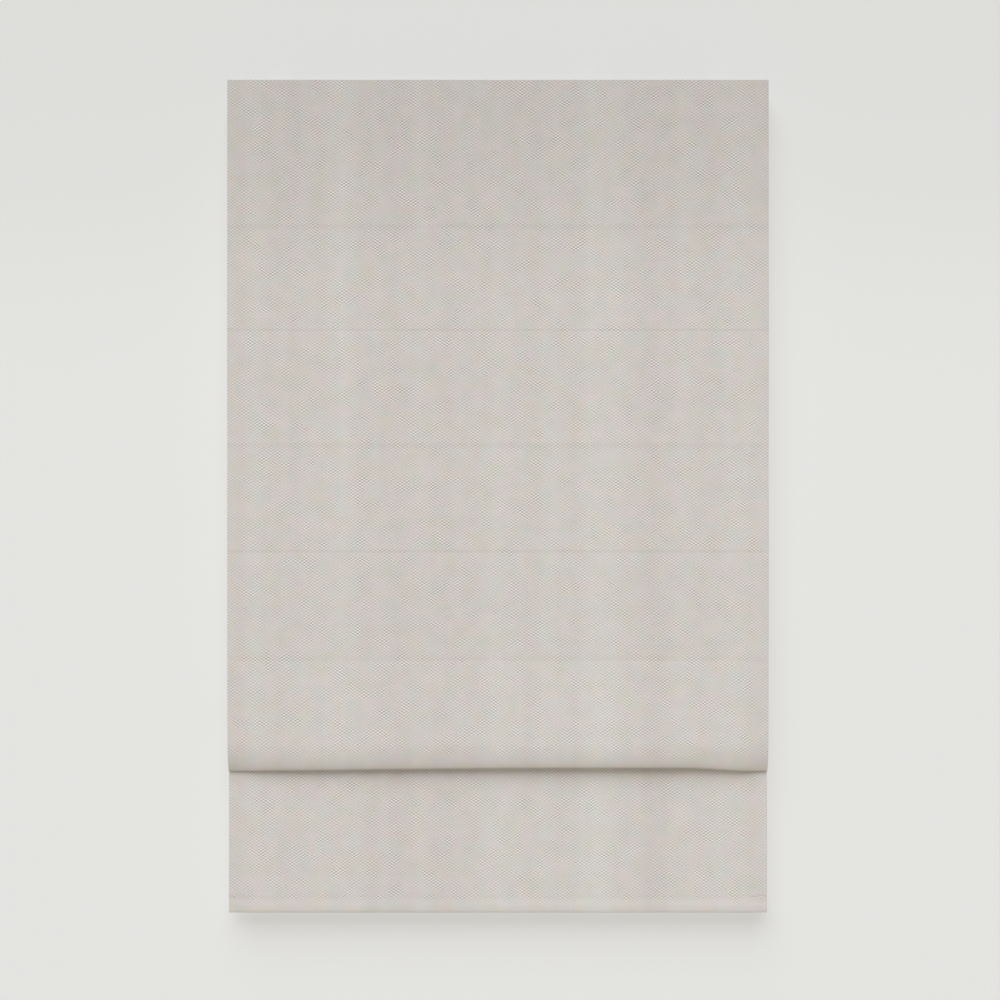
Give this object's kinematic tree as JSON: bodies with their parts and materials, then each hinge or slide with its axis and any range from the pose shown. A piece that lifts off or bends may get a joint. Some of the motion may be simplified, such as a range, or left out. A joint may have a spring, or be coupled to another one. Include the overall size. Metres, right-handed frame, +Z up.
{
  "type": "roman blind",
  "caption": "Flat roman blind of pale woven cloth with its lowest pleat folded, hung from a sprung headrail with lift cords, rods and a weight bar.",
  "frame": {"origin": "Middle of the four bracket screws, on the bracket faces that meet the window head.", "axes": "+X runs across the width to the right seen from the room, -Y faces the room, +Z is up."},
  "size_m": [0.914, 0.0573, 1.4121],
  "materials": {
    "woven_cloth": "pale stone plain cloth with a fine zigzag weave and faint slubs",
    "pocket_tape": "thin off-white woven tape",
    "rail_paint": "white powder coat on extruded aluminium",
    "white_plastic": "white moulded plastic with a fine matt texture",
    "clear_plastic": "milky clear moulded plastic",
    "rod_glassfibre": "pale drawn glass fibre",
    "bar_steel": "galvanised flat bar",
    "bracket_steel": "zinc plated spring steel",
    "spring_steel": "blued steel strip",
    "shaft_aluminium": "drawn square bar",
    "touch_tape": "white hook and loop tape",
    "cord_braid": "fine white braid"
  },
  "bodies": {
    "headrail_unit": {"blind_cloth": "woven_cloth", "headrail": "rail_paint", "headrail_cap_left": "white_plastic", "headrail_cap_right": "white_plastic", "spring_motor_base": "white_plastic", "spring_motor_cover": "white_plastic", "cord_cradle_left": "white_plastic", "cord_cradle_middle": "white_plastic", "cord_cradle_right": "white_plastic", "bracket_left": "bracket_steel", "bracket_right": "bracket_steel", "motor_spring": "spring_steel", "hook_strip": "touch_tape", "loop_strip": "touch_tape", "lift_cord_left": "cord_braid", "lift_cord_middle": "cord_braid", "lift_cord_right": "cord_braid"},
    "lift_drive": {"lift_shaft": "shaft_aluminium", "cord_spool_left": "white_plastic", "cord_spool_middle": "white_plastic", "cord_spool_right": "white_plastic", "output_drum": "white_plastic"},
    "spring_store": {"storage_drum": "white_plastic"},
    "first_rod_unit": {"first_rod": "rod_glassfibre", "first_rod_pocket": "pocket_tape", "first_rod_tips": "white_plastic", "first_rod_rings": "clear_plastic"},
    "second_rod_unit": {"second_rod": "rod_glassfibre", "second_rod_pocket": "pocket_tape", "second_rod_tips": "white_plastic", "second_rod_rings": "clear_plastic"},
    "third_rod_unit": {"third_rod": "rod_glassfibre", "third_rod_pocket": "pocket_tape", "third_rod_tips": "white_plastic", "third_rod_rings": "clear_plastic"},
    "lowest_rod_unit": {"lowest_rod": "rod_glassfibre", "lowest_rod_pocket": "pocket_tape", "lowest_rod_tips": "white_plastic", "cord_beads": "clear_plastic", "weight_bar": "bar_steel"}
  },
  "joints": [
    {"name": "raise_first", "type": "slide", "parent": "headrail_unit", "child": "first_rod_unit", "axis": [0, 0.02, 0.9998], "range_m": [0, 0.1765]},
    {"name": "raise", "type": "slide", "parent": "first_rod_unit", "child": "second_rod_unit", "axis": [0, 0.02, 0.9998], "range_m": [0, 0.353], "deforming": ["blind_cloth", "lift_cord_left", "lift_cord_middle", "lift_cord_right"]},
    {"name": "raise_third", "type": "slide", "parent": "second_rod_unit", "child": "third_rod_unit", "axis": [0, 0.02, 0.9998], "range_m": [0, 0.353]},
    {"name": "let_down", "type": "slide", "parent": "third_rod_unit", "child": "lowest_rod_unit", "axis": [0, 0.0353, 0.9994], "range_m": [-0.328, 0]},
    {"name": "shaft_turn", "type": "hinge", "parent": "headrail_unit", "child": "lift_drive", "pos_m": [0, -0.0034, -0.0202], "axis": [1, 0, 0], "range_deg": [-5690, 0]},
    {"name": "store_turn", "type": "hinge", "parent": "headrail_unit", "child": "spring_store", "pos_m": [0.15, 0.0122, -0.0202], "axis": [1, 0, 0], "range_deg": [-5690, 0]}
  ],
  "couplings": [
    {"joint": "raise_first", "follows": "raise", "ratio": 0.5},
    {"joint": "raise_third", "follows": "raise", "ratio": 1},
    {"joint": "shaft_turn", "follows": "raise", "rad_per_m": -280.9},
    {"joint": "store_turn", "follows": "raise", "rad_per_m": -280.9}
  ]
}
